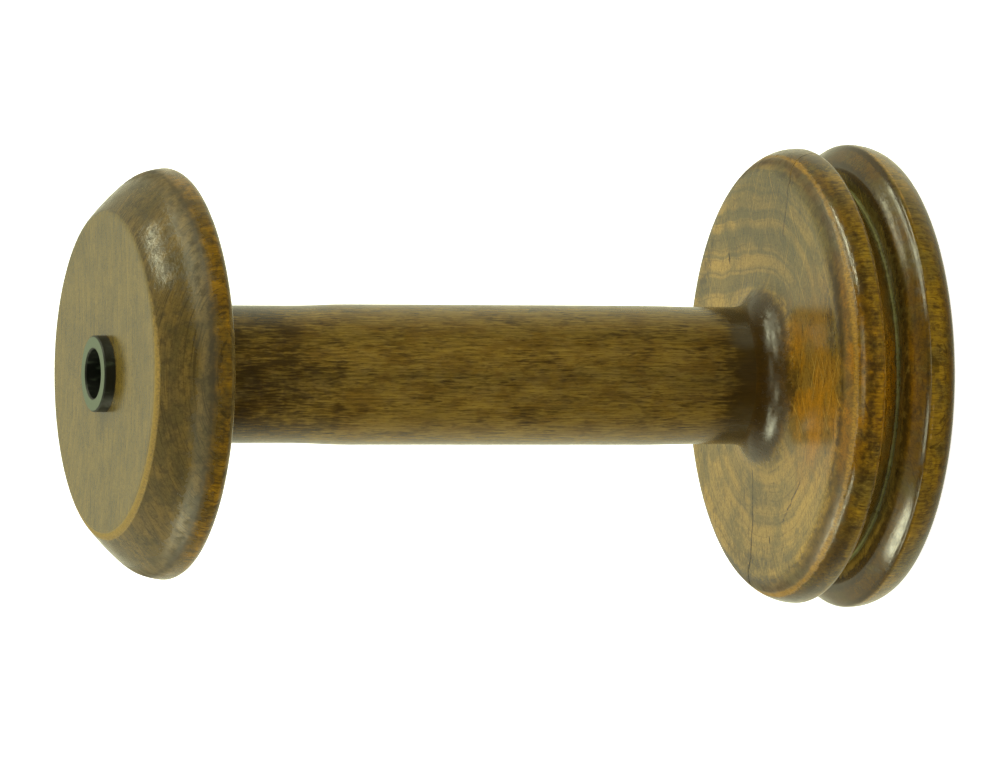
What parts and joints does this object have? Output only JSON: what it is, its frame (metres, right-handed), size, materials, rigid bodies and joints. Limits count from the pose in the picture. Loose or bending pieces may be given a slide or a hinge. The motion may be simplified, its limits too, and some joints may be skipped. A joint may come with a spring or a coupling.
{
  "type": "spinning wheel bobbin",
  "caption": "Turned wooden bobbin for a spinning wheel: a barrel that holds the yarn between an end flange and a whorl grooved for the drive band, with bushes that run on a flyer's shaft.",
  "frame": {"origin": "centre of the whorl's outer face, which the bobbin stands on", "axes": "+Z along the bobbin's axis from the whorl to the end flange; X and Y are alike, since the bobbin is round"},
  "size_m": [0.0836, 0.0836, 0.148],
  "materials": {
    "barrel_wood": "turned hardwood, long grain, walnut stain under satin lacquer",
    "flange_wood": "turned hardwood, end grain, walnut stain under semi-gloss lacquer",
    "whorl_wood": "turned hardwood, end grain, walnut stain under semi-gloss lacquer",
    "bush_plastic": "black moulded plastic, semi-gloss"
  },
  "bodies": {
    "root": {"barrel": "barrel_wood", "end_flange": "flange_wood", "whorl": "whorl_wood", "flange_bush": "bush_plastic", "whorl_bush": "bush_plastic"}
  },
  "joints": []
}
